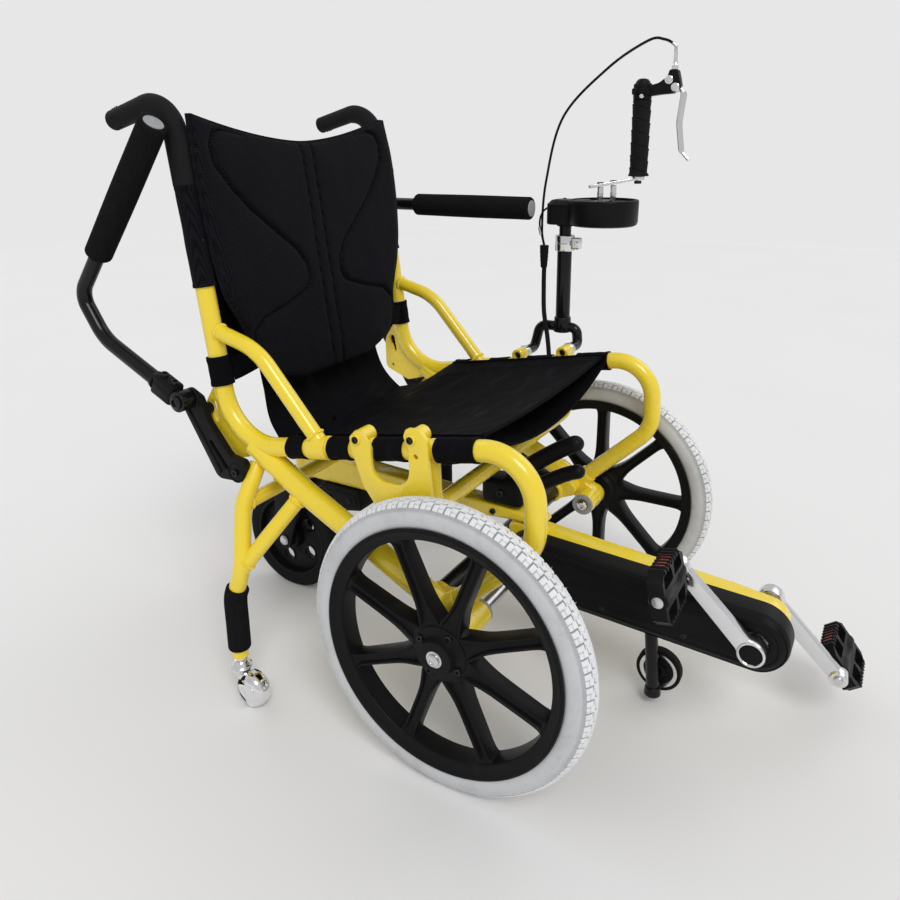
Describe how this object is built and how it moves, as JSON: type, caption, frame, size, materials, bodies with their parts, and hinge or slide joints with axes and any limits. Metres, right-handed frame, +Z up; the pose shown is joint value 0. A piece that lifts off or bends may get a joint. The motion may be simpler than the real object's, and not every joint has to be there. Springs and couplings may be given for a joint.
{
  "type": "pedal wheelchair",
  "caption": "Wheelchair that its rider pedals: drive wheels in front, sling seat, padded back, swing-up armrests and a side column that steers the rear wheel.",
  "frame": {"origin": "on the floor, under the middle of the chair's overall box", "axes": "+Z up; the rider faces -Y and the steering column stands on the rider's left, at +X"},
  "size_m": [0.677, 1.1273, 0.9848],
  "materials": {
    "yellow_paint": "glossy powder coat",
    "black_paint": "glossy",
    "black_plastic": "satin moulded",
    "black_rubber": "matt",
    "foam": "matt closed-cell foam",
    "cloth": "black woven and mesh cloth",
    "grey_tyre": "light grey non-marking rubber",
    "alloy": "polished alloy",
    "chrome_plate": "mirror plated",
    "steel": "zinc plated"
  },
  "bodies": {
    "frame": {"axle_cross_tube": "black_paint", "back_cushion": "cloth", "back_sling": "cloth", "chain_case": "black_plastic", "control_hose": "black_rubber", "drive_chain": "steel", "front_boom": "yellow_paint", "front_cross_tube": "yellow_paint", "front_stand": "black_paint", "left_armrest_bracket": "black_plastic", "left_axle": "steel", "left_brace_tube": "yellow_paint", "left_foam_sleeve": "foam", "left_main_tube": "yellow_paint", "left_outrigger": "yellow_paint", "left_push_grip": "black_rubber", "left_side_tube": "yellow_paint", "lever_bracket": "black_plastic", "lug_plate": "yellow_paint", "rear_cross_tube": "yellow_paint", "right_armrest_bracket": "black_plastic", "right_brace_tube": "yellow_paint", "right_foam_sleeve": "foam", "right_main_tube": "yellow_paint", "right_outrigger": "yellow_paint", "right_push_grip": "black_rubber", "right_side_tube": "yellow_paint", "seat_sling": "cloth", "spine_beam": "yellow_paint", "spine_guard": "black_plastic", "steering_base": "black_paint"},
    "right_drive": {"right_wheel": "black_plastic", "right_tyre": "grey_tyre", "drive_axle": "steel"},
    "left_drive": {"left_wheel": "black_plastic", "left_tyre": "grey_tyre"},
    "cranks": {"crank_spindle": "steel", "right_crank": "alloy", "left_crank": "alloy"},
    "right_pedal_body": {"right_pedal": "black_plastic"},
    "left_pedal_body": {"left_pedal": "black_plastic"},
    "fork": {"rear_fork": "black_plastic"},
    "steered_wheel": {"rear_wheel": "black_rubber"},
    "right_caster": {"right_caster_hood": "chrome_plate"},
    "right_caster_roller": {"right_caster_wheel": "black_rubber"},
    "left_caster": {"left_caster_hood": "chrome_plate"},
    "left_caster_roller": {"left_caster_wheel": "black_rubber"},
    "stand_roller": {"stand_wheel": "black_plastic"},
    "right_armrest": {"right_armrest_tube": "black_paint", "right_armrest_pad": "foam"},
    "left_armrest": {"left_armrest_tube": "black_paint", "left_armrest_pad": "foam"},
    "column": {"steering_column": "black_paint", "steering_housing": "black_plastic", "brake_cable": "black_rubber", "cable_joiner": "black_plastic"},
    "steering": {"steering_arm": "alloy", "steering_grip": "black_rubber", "brake_clamp": "black_plastic"},
    "lever": {"brake_lever": "alloy"}
  },
  "joints": [
    {"name": "right_wheel_spin", "type": "hinge", "parent": "frame", "child": "right_drive", "pos_m": [-0.3035, -0.0999, 0.203], "axis": [1, 0, 0], "continuous": true},
    {"name": "left_wheel_spin", "type": "hinge", "parent": "frame", "child": "left_drive", "pos_m": [0.2605, -0.0999, 0.203], "axis": [1, 0, 0], "continuous": true},
    {"name": "crank_spin", "type": "hinge", "parent": "frame", "child": "cranks", "pos_m": [-0.0215, -0.4339, 0.186], "axis": [1, 0, 0], "continuous": true},
    {"name": "right_pedal_spin", "type": "hinge", "parent": "cranks", "child": "right_pedal_body", "pos_m": [-0.1515, -0.3348, 0.28204], "axis": [1, 0, 0], "continuous": true},
    {"name": "left_pedal_spin", "type": "hinge", "parent": "cranks", "child": "left_pedal_body", "pos_m": [0.1085, -0.533, 0.08996], "axis": [1, 0, 0], "continuous": true},
    {"name": "fork_turn", "type": "hinge", "parent": "frame", "child": "fork", "pos_m": [-0.0215, 0.3651, 0.235], "axis": [0, 0, 1], "range_deg": [-45, 45]},
    {"name": "rear_wheel_spin", "type": "hinge", "parent": "fork", "child": "steered_wheel", "pos_m": [-0.0215, 0.4051, 0.102], "axis": [1, 0, 0], "continuous": true},
    {"name": "right_caster_swivel", "type": "hinge", "parent": "frame", "child": "right_caster", "pos_m": [-0.3215, 0.2526, 0.07], "axis": [0, 0, 1], "continuous": true},
    {"name": "right_caster_spin", "type": "hinge", "parent": "right_caster", "child": "right_caster_roller", "pos_m": [-0.3215, 0.2316, 0.026], "axis": [1, 0, 0], "continuous": true},
    {"name": "left_caster_swivel", "type": "hinge", "parent": "frame", "child": "left_caster", "pos_m": [0.2785, 0.2526, 0.07], "axis": [0, 0, 1], "continuous": true},
    {"name": "left_caster_spin", "type": "hinge", "parent": "left_caster", "child": "left_caster_roller", "pos_m": [0.2785, 0.2316, 0.026], "axis": [1, 0, 0], "continuous": true},
    {"name": "stand_wheel_spin", "type": "hinge", "parent": "frame", "child": "stand_roller", "pos_m": [0.002, -0.2949, 0.048], "axis": [1, 0, 0], "continuous": true},
    {"name": "right_armrest_swing", "type": "hinge", "parent": "frame", "child": "right_armrest", "pos_m": [-0.297, 0.3531, 0.458], "axis": [1, 0, 0], "range_deg": [0, 50.6]},
    {"name": "left_armrest_swing", "type": "hinge", "parent": "frame", "child": "left_armrest", "pos_m": [0.254, 0.3531, 0.458], "axis": [1, 0, 0], "range_deg": [-50.6, 0]},
    {"name": "column_slide", "type": "slide", "parent": "frame", "child": "column", "axis": [0, 0, 1], "range_m": [-0.015, 0.08], "deforming": ["control_hose"]},
    {"name": "steering_turn", "type": "hinge", "parent": "column", "child": "steering", "pos_m": [0.2785, -0.0749, 0.724], "axis": [0, 0, 1], "range_deg": [-75, 75], "deforming": ["brake_cable"]},
    {"name": "brake_squeeze", "type": "hinge", "parent": "steering", "child": "lever", "pos_m": [0.3085, -0.1799, 0.905], "axis": [1, 0, 0], "range_deg": [0, 20], "stiffness_Nm_per_rad": 0.2}
  ],
  "couplings": [
    {"joint": "crank_spin", "follows": "right_wheel_spin", "ratio": 1},
    {"joint": "fork_turn", "follows": "steering_turn", "ratio": -0.6}
  ]
}
